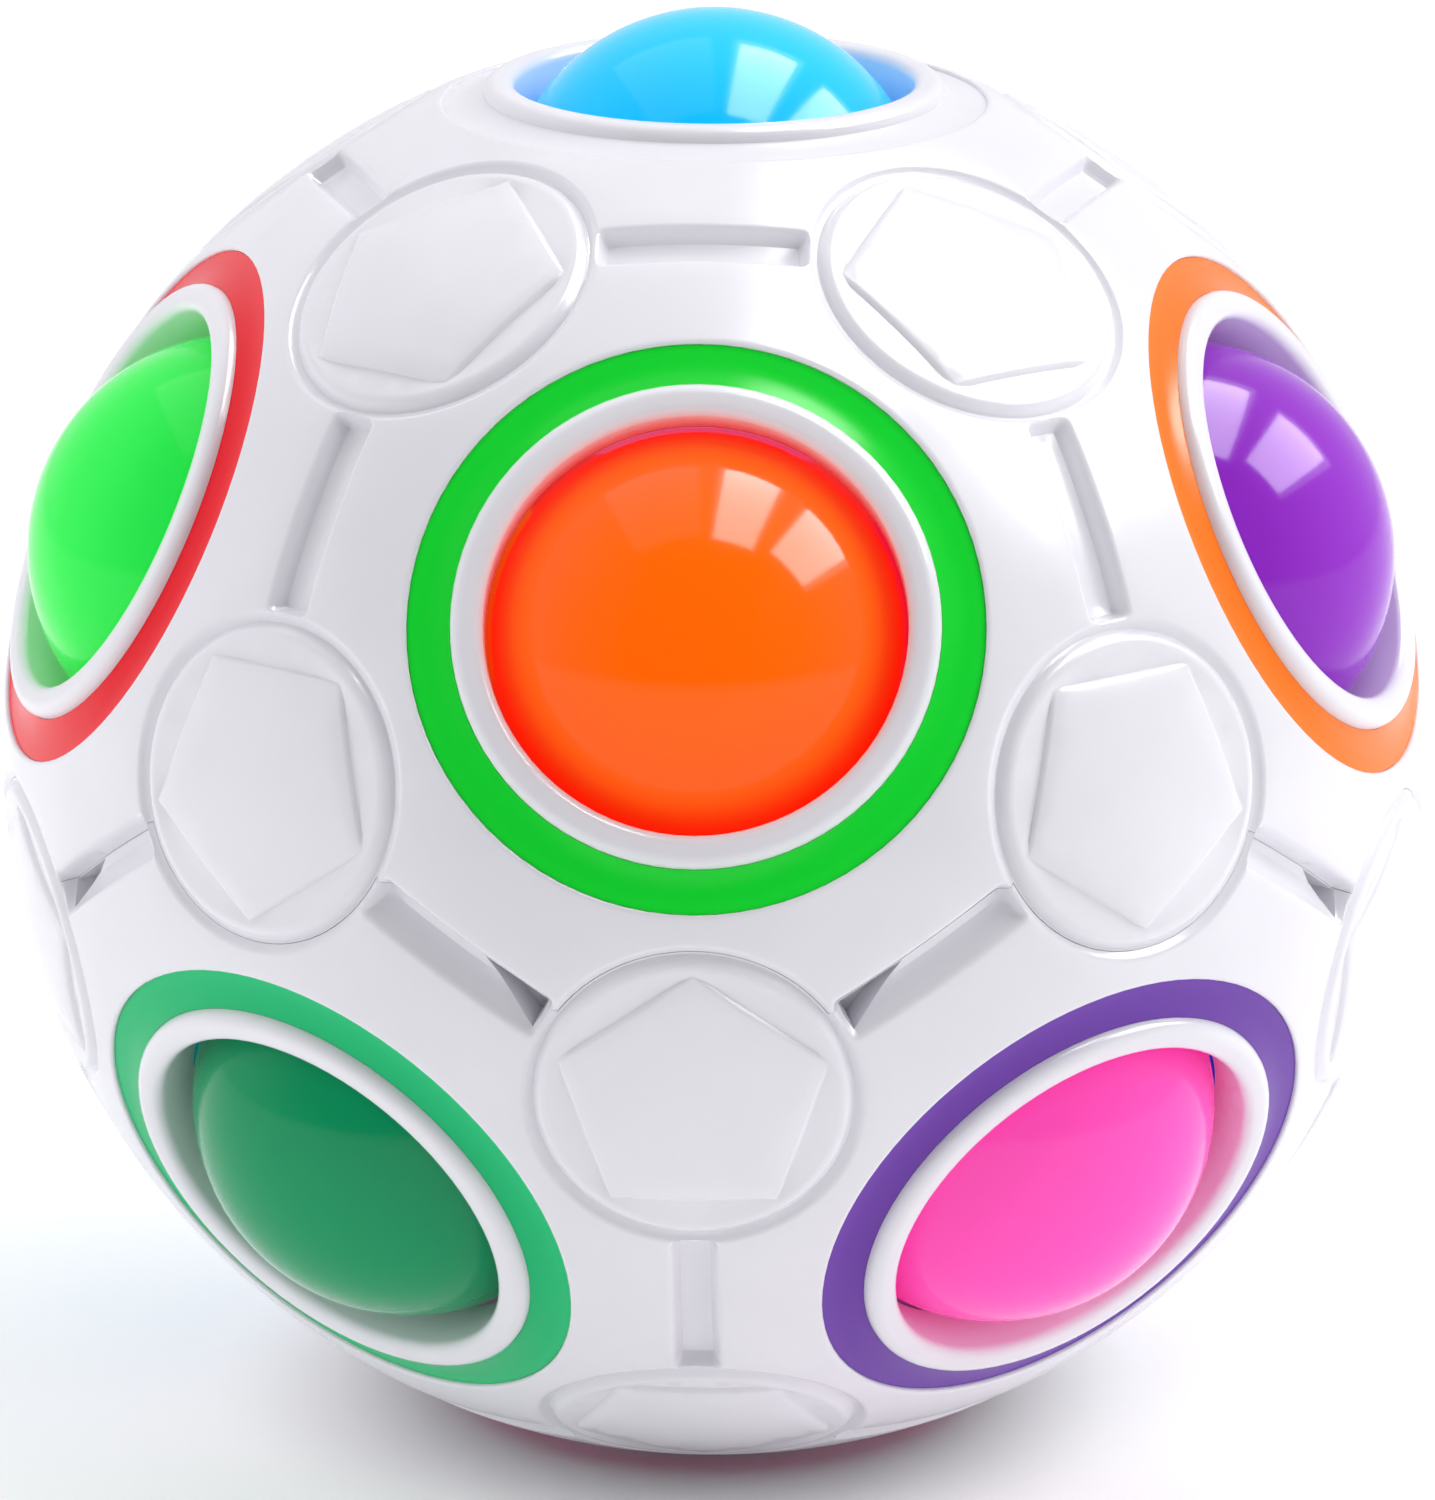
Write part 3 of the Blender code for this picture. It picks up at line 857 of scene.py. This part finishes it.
def core_plugs(name, radius, low, high, phase):
    """The same round plug on every hole's axis, for a Boolean."""
    form = bmesh.new()
    turn = Matrix.Rotation(math.radians(phase), 3, "Z")
    profile = [(0.0, high), (radius, high), (radius, low), (0.0, low)]
    for seat in SEATS:
        lathe_rings(form, profile, 32, seat_turn(seat) @ turn)
    bmesh.ops.transform(form, matrix=Matrix.Scale(MM, 4), verts=form.verts)
    return mesh_object(name, form)


def half_space(half, side):
    """A block over one side of the core's parting plane."""
    size = 40.0
    form = bmesh.new()
    place = Matrix.Translation((0.0, 0.0, side * (size / 2.0 + CORE_GAP) * MM))
    bmesh.ops.create_cube(form, size=size * MM, matrix=place)
    return mesh_object(f"core_block_{half}", form)


def carve(obj, steps):
    """Works Booleans into an object's mesh, and shades it anew."""
    for other, operation in steps:
        cut = obj.modifiers.new(other.name, "BOOLEAN")
        cut.operation = operation
        cut.solver = "EXACT"
        cut.object = other
    bpy.context.view_layer.update()
    mesh = bpy.data.meshes.new_from_object(obj.evaluated_get(bpy.context.evaluated_depsgraph_get()))
    obj.modifiers.clear()
    obj.data = mesh
    for face in mesh.polygons:
        face.use_smooth = True
    mesh.set_sharp_from_angle(angle=math.radians(30.0))


def make_core():
    """The core's halves: a ball with a spring pocket and a guide tube on each hole's axis, parted at its
    middle."""
    pockets = core_plugs("core_pockets", POCKET_RADIUS, POCKET_FLOOR, CORE_REACH, 0.0)
    tubes = core_plugs("core_tubes", TUBE_RADIUS, TUBE_FOOT, TUBE_TOP, 3.0)
    bores = core_plugs("core_bores", BORE_RADIUS, CORE_VOID * 0.7, CORE_REACH, 7.0)
    void = mesh_object("core_void", core_ball(CORE_VOID, 4))
    for half, side in (("upper", 1), ("lower", -1)):
        core = mesh_object(f"fine_core_{half}", core_ball(CORE_RADIUS, 5))
        block = half_space(half, side)
        carve(core, ((pockets, "DIFFERENCE"), (tubes, "UNION"), (void, "DIFFERENCE"), (bores, "DIFFERENCE"),
                     (block, "INTERSECT")))
        core.location = CENTRE
        dress(core, f"core_{half}")
        bpy.data.objects.remove(block)
    for cutter in (pockets, tubes, bores, void):
        bpy.data.objects.remove(cutter)


# --------------------------------------------------------------------------------------------------
# Materials
# --------------------------------------------------------------------------------------------------


class Signal:
    """A shader socket that takes part in Python arithmetic."""

    def __init__(self, tree, socket):
        self.tree = tree
        self.socket = socket

    def _math(self, operation, *values):
        node = self.tree.nodes.new("ShaderNodeMath")
        node.operation = operation
        for slot, value in zip(node.inputs, values):
            connect(self.tree, slot, value)
        return Signal(self.tree, node.outputs[0])

    def __add__(self, other):
        return self._math("ADD", self, other)

    def __sub__(self, other):
        return self._math("SUBTRACT", self, other)

    def __rsub__(self, other):
        return self._math("SUBTRACT", other, self)

    def __mul__(self, other):
        return self._math("MULTIPLY", self, other)

    __radd__ = __add__
    __rmul__ = __mul__


def connect(tree, socket, value):
    if isinstance(value, Signal):
        tree.links.new(value.socket, socket)
    else:
        socket.default_value = value


class Recipe:
    """A node tree that is built up from Python."""

    def __init__(self, tree):
        self.tree = tree

    def node(self, kind, settings=None, output=0, **sockets):
        """Any other node: its type, its settings, and values or links for its sockets."""
        node = self.tree.nodes.new("ShaderNode" + kind)
        for key, value in (settings or {}).items():
            setattr(node, key, value)
        for key, value in sockets.items():
            wanted = key.replace("_", " ")
            socket = next(s for s in node.inputs if wanted in (s.identifier.replace("_", " "), s.name))
            connect(self.tree, socket, value)
        return Signal(self.tree, node.outputs[output])

    def mix(self, factor, a, b):
        return self.node("Mix", {"data_type": "RGBA"}, 2, Factor_Float=factor, A_Color=a, B_Color=b)

    def step(self, value, low, high, before=0.0, after=1.0):
        return self.node("MapRange", {"interpolation_type": "SMOOTHSTEP"}, Value=value,
                         From_Min=low, From_Max=high, To_Min=before, To_Max=after)

    def noise(self, coords, scale, detail=3.0, roughness=0.5):
        return self.node("TexNoise", Vector=coords, Scale=scale, Detail=detail, Roughness=roughness)

    def coords(self):
        """Places on the object, in metres."""
        return self.node("TexCoord", output=3)

    def kept(self, name):
        """A number that each of the piece's points keeps."""
        return self.node("Attribute", {"attribute_name": name}, 2)


class Finish(Recipe):
    """A Principled material, with its constants set on the shader's own sockets."""

    def __init__(self, name, **constants):
        self.material = bpy.data.materials.new(name)
        self.material.use_nodes = True
        super().__init__(self.material.node_tree)
        self.shader = self.tree.nodes["Principled BSDF"]
        for socket, value in constants.items():
            self.shader.inputs[socket.replace("_", " ")].default_value = value

    def drive(self, **sockets):
        """Links what varies over the surface."""
        for key, value in sockets.items():
            connect(self.tree, self.shader.inputs[key.replace("_", " ")], value)
        return self.material


def shade(colour, factor):
    return (*(min(1.0, c * factor) for c in colour), 1.0)


def moulded(name, colour, roughness, grain=0.02, coat=0.0, specular=0.34):
    """Moulded plastic: faint flow clouding, a fine grain, and a surface that is a touch uneven."""
    finish = Finish(name, Coat_Weight=coat, Coat_Roughness=0.04, Specular_IOR_Level=specular)
    place = finish.coords()
    cloud = finish.noise(place, 60.0, 4.0)
    grains = finish.noise(place, 2600.0, 2.0)
    waves = finish.noise(place, 140.0, 2.0)
    tint = finish.mix(finish.step(cloud, 0.3, 0.7), shade(colour, 0.965), shade(colour, 1.03))
    height = waves * 0.7 + grains * 0.3
    normal = finish.node("Bump", Height=height, Strength=grain, Distance=0.0004)
    uneven = cloud * 0.08 + (roughness - 0.04) + grains * 0.02
    return finish.drive(Base_Color=tint, Roughness=uneven, Normal=normal)


def ball_gloss(name, colour, deep, painted_light_colour):
    """Polished ball, with painted light and shade: a deeper colour painted as shade where it dips under its
    collar, and a warmer, lighter colour painted as light at its crown. It also has a painted glow, a faint
    emission in its own colour that is stronger and deeper where it dips under its collar."""
    # The emission strength gives the ball a painted glow, though it is no lamp.
    finish = Finish(
        name, Coat_Weight=0.12, Coat_Roughness=0.03, Specular_IOR_Level=0.14, Emission_Strength=0.6,
    )
    place = finish.coords()
    height = finish.kept("axial")
    # Mask of the painted shade and painted glow: low where the ball dips under its collar.
    level = finish.step(height, BALL_RADIUS * 0.42, BALL_RADIUS * 0.66)
    cloud = finish.noise(place, 90.0, 3.0)
    swirl = finish.noise(place, 420.0, 2.0)
    # Painted shade: the deeper colour where the ball dips under its collar.
    low = finish.mix(level, (*deep, 1.0), (*colour, 1.0))
    # Painted light: the crown is blended towards a warmer, lighter colour.
    crown = finish.step(height, BALL_RADIUS * 0.7, BALL_RADIUS * 1.02)
    body = finish.mix(crown * 0.45 + cloud * 0.08, low, (*painted_light_colour, 1.0))
    # Painted glow: emission in the deeper colour under the collar, and in a dim copy of the ball's colour above
    # it.
    glow = finish.mix(level, (*deep, 1.0), shade(colour, 0.4))
    normal = finish.node("Bump", Height=swirl, Strength=0.012, Distance=0.0003)
    roughness = cloud * 0.05 + 0.08 + swirl * 0.02
    return finish.drive(Base_Color=body, Emission_Color=glow, Roughness=roughness, Normal=normal)


def ring_paint(name, colour):
    """Paint in a ring's dish, with a painted sheen that makes it lighter up its outer side, and faint strokes."""
    finish = Finish(name, Specular_IOR_Level=0.22)
    place = finish.coords()
    # Painted sheen: the outer side of the dish is blended towards a lighter copy of the paint colour.
    outer = finish.step(finish.kept("radial"), RECESS_RADIUS - 0.9, RECESS_RADIUS - 0.05)
    cloud = finish.noise(place, 180.0, 4.0)
    tint = finish.mix(outer * 0.35 + cloud * 0.12, shade(colour, 0.97), lighter(colour))
    normal = finish.node("Bump", Height=cloud, Strength=0.03, Distance=0.0003)
    return finish.drive(Base_Color=tint, Roughness=cloud * 0.1 + 0.13, Normal=normal)


# The lighter colour of a ring's painted sheen.
def lighter(colour):
    return (*(min(1.0, c * 1.15 + 0.008) for c in colour), 1.0)


def steel_wire(name, colour):
    """Drawn wire: bright, with fine lengthwise scratches and darker patches of drawing oil."""
    finish = Finish(name, Metallic=1.0)
    place = finish.coords()
    patch = finish.noise(place, 300.0, 4.0)
    scratch = finish.noise(place, 4000.0, 2.0)
    tint = finish.mix(finish.step(patch, 0.35, 0.65), shade(colour, 0.8), shade(colour, 1.1))
    normal = finish.node("Bump", Height=scratch, Strength=0.06, Distance=0.0002)
    return finish.drive(Base_Color=tint, Roughness=patch * 0.15 + 0.2, Normal=normal)


# Linear colours: each ball's own, its painted shade where it dips under its collar, and its painted light at its
# crown.
BALL_LOOKS = {
    "orange": ((1.0, 0.10, 0.001), (0.86, 0.01, 0.0), (1.0, 0.17, 0.002)),
    "sky_blue": ((0.006, 0.48, 0.92), (0.0, 0.30, 0.80), (0.01, 0.56, 0.98)),
    "light_green": ((0.02, 0.74, 0.07), (0.004, 0.45, 0.03), (0.03, 0.82, 0.09)),
    "purple": ((0.23, 0.02, 0.443), (0.18, 0.007, 0.312), (0.262, 0.027, 0.508)),
    "dark_green": ((0.004, 0.225, 0.085), (0.0, 0.10, 0.04), (0.008, 0.27, 0.11)),
    "pink": ((0.88, 0.07, 0.42), (0.66, 0.01, 0.24), (0.94, 0.09, 0.48)),
    "yellow": ((1.0, 0.66, 0.01), (0.85, 0.36, 0.0), (1.0, 0.78, 0.05)),
    "red": ((0.84, 0.012, 0.02), (0.45, 0.0, 0.005), (0.95, 0.03, 0.03)),
    "blue": ((0.012, 0.10, 0.72), (0.003, 0.03, 0.40), (0.02, 0.16, 0.85)),
    "magenta": ((0.62, 0.015, 0.34), (0.34, 0.002, 0.16), (0.72, 0.03, 0.42)),
    "teal": ((0.01, 0.40, 0.42), (0.0, 0.18, 0.20), (0.02, 0.50, 0.52)),
}
RING_LOOKS = {
    "light_green": (0.008, 0.74, 0.035),
    "red": (0.84, 0.002, 0.014),
    "orange": (1.0, 0.179, 0.001),
    "dark_green": (0.001, 0.497, 0.17),
    "purple": (0.145, 0.042, 0.37),
    "pink": (0.92, 0.10, 0.42),
    "yellow": (1.0, 0.70, 0.01),
    "sky_blue": (0.01, 0.52, 0.95),
    "blue": (0.012, 0.09, 0.62),
    "magenta": (0.55, 0.012, 0.30),
    "teal": (0.008, 0.38, 0.40),
}


def make_materials():
    made = {
        "white": moulded("white_gloss_plastic", (0.80, 0.79, 0.84), 0.24, coat=0.15),
        "grey": moulded("grey_satin_plastic", (0.50, 0.51, 0.53), 0.42, grain=0.05),
        "steel": steel_wire("spring_steel", (0.60, 0.61, 0.63)),
    }
    for name, (colour, deep, painted_light_colour) in BALL_LOOKS.items():
        made[name] = ball_gloss(f"ball_gloss_{name}", colour, deep, painted_light_colour)
    for name, colour in RING_LOOKS.items():
        made["ring_" + name] = ring_paint(f"ring_paint_{name}", colour)
    return made


# --------------------------------------------------------------------------------------------------
# Floor, light and camera
# --------------------------------------------------------------------------------------------------


def grey(level):
    return (level, level, level, 1.0)


def floor_finish():
    """Pale table with a faint mottle. It glows a little, evenly, except under the puzzle, where the glow fades out
    as a painted shadow.
    """
    finish = Finish("pale_floor", Specular_IOR_Level=0.05, Emission_Strength=0.26)
    place = finish.coords()
    away = finish.node("VectorMath", {"operation": "LENGTH"}, 1, Vector=place)
    # Painted shadow: the floor's glow fades to black between 26 mm and 14 mm from the middle, under the puzzle.
    glow = finish.mix(finish.step(away, 14.0 * MM, 26.0 * MM), grey(0.0), grey(1.0))
    cloud = finish.noise(place, 8.0, 3.0)
    tint = finish.mix(finish.step(cloud, 0.3, 0.7), grey(0.82), grey(0.84))
    return finish.drive(Base_Color=tint, Emission_Color=glow, Roughness=cloud * 0.1 + 0.6)


FLOOR_RADIUS = 3.0
FLOOR_GAP = 0.02 * MM


def make_floor():
    form = bmesh.new()
    bmesh.ops.create_circle(form, cap_ends=True, segments=96, radius=FLOOR_RADIUS)
    floor = mesh_object("floor", form)
    floor.location.z = -FLOOR_GAP
    floor.data.materials.append(floor_finish())


CAMERA_AZIMUTH = math.radians(1.6)
CAMERA_ELEVATION = math.radians(17.4)
CAMERA_DISTANCE = 10.663 * SHELL_RADIUS * MM
CAMERA_LENS = 181.5
CAMERA_OFFSET = (0.16 * MM, -0.37 * MM)

BACK = Vector((
    math.sin(CAMERA_AZIMUTH) * math.cos(CAMERA_ELEVATION),
    -math.cos(CAMERA_AZIMUTH) * math.cos(CAMERA_ELEVATION),
    math.sin(CAMERA_ELEVATION),
))
RIGHT = Vector((math.cos(CAMERA_AZIMUTH), math.sin(CAMERA_AZIMUTH), 0.0))
UP = BACK.cross(RIGHT)


def make_camera():
    data = bpy.data.cameras.new("camera")
    data.lens = CAMERA_LENS
    data.sensor_width = 36.0
    data.clip_start = 0.01
    data.clip_end = 20.0
    camera = link(bpy.data.objects.new("camera", data))
    place = CENTRE + BACK * CAMERA_DISTANCE + RIGHT * CAMERA_OFFSET[0] + UP * CAMERA_OFFSET[1]
    camera.matrix_world = Matrix.Translation(place) @ Matrix((RIGHT, UP, BACK)).transposed().to_4x4()
    bpy.context.scene.camera = camera


def softbox(name, tilt, lean, width, depth, glow, shows, distance=0.6):
    """A soft box over the puzzle: tilt is its angle from overhead towards the camera's right, and lean
    its angle forward to the camera, in degrees. Glow is its brightness, and depth its size from back to
    front. It shows everywhere, in gloss only, or in matt light only."""
    data = bpy.data.lights.new(name, "AREA")
    data.shape = "RECTANGLE"
    data.size = width
    data.size_y = depth
    data.energy = glow * math.pi * width * depth
    lamp = link(bpy.data.objects.new(name, data))
    lamp.visible_diffuse = shows != "gloss"
    lamp.visible_glossy = shows != "matt"
    t, n = math.radians(tilt), math.radians(lean)
    out = ((RIGHT * math.sin(t) + UP * math.cos(t)) * math.cos(n) + BACK * math.sin(n)).normalized()
    along = (BACK - out * BACK.dot(out)).normalized()
    axes = Matrix((along.cross(out), along, out)).transposed()
    lamp.matrix_world = Matrix.Translation(CENTRE + out * distance) @ axes.to_4x4()


# Each soft box's tilt, lean, width, depth, glow and what it shows in.
SOFTBOXES = {
    "high_box": (17.0, 7.0, 0.24, 0.62, 1.85, "everywhere"),
    "side_box": (48.0, 8.0, 0.26, 0.48, 2.75, "everywhere"),
    "high_gleam": (17.0, 9.0, 0.20, 0.56, 14.0, "gloss"),
    "side_gleam": (47.0, 9.0, 0.22, 0.44, 14.0, "gloss"),
    "left_box": (-16.0, 6.0, 0.34, 0.62, 0.9, "everywhere"),
    "left_wall": (-72.0, 24.0, 0.60, 0.60, 1.35, "matt"),
    "right_wall": (78.0, 30.0, 0.60, 0.60, 1.3, "matt"),
}

# Strength of the room's light behind the puzzle, in front of it, and of the plain backdrop.
ROOM_BRIGHT = 0.82
ROOM_DIM = 0.04
BACKDROP = 0.95
ROOM_TINT = (0.965, 0.96, 1.0, 1.0)


def make_lights():
    for name, (tilt, lean, width, depth, glow, shows) in SOFTBOXES.items():
        softbox(name, tilt, lean, width, depth, glow, shows)
    make_studio()
    bpy.context.scene.view_settings.view_transform = "Standard"


def make_studio():
    """A bright white room with a dim side in front of the puzzle, and a plain white backdrop."""
    world = bpy.data.worlds.new("studio")
    world.use_nodes = True
    room = Recipe(world.node_tree)
    direction = room.node("TexCoord")
    forward = room.node("VectorMath", {"operation": "DOT_PRODUCT"}, 1, Vector=direction, Vector_001=BACK)
    light = room.step(forward, -0.1, 0.75, ROOM_BRIGHT, ROOM_DIM)
    seen = room.node("LightPath")
    sky = world.node_tree.nodes["Background"]
    sky.inputs["Color"].default_value = ROOM_TINT
    connect(world.node_tree, sky.inputs["Strength"], seen * BACKDROP + (1 - seen) * light)
    bpy.context.scene.world = world


MATERIALS = make_materials()
make_shells()
make_balls()
make_rings()
make_plungers()
make_springs()
make_core()
make_floor()
make_camera()
make_lights()

bpy.context.view_layer.update()
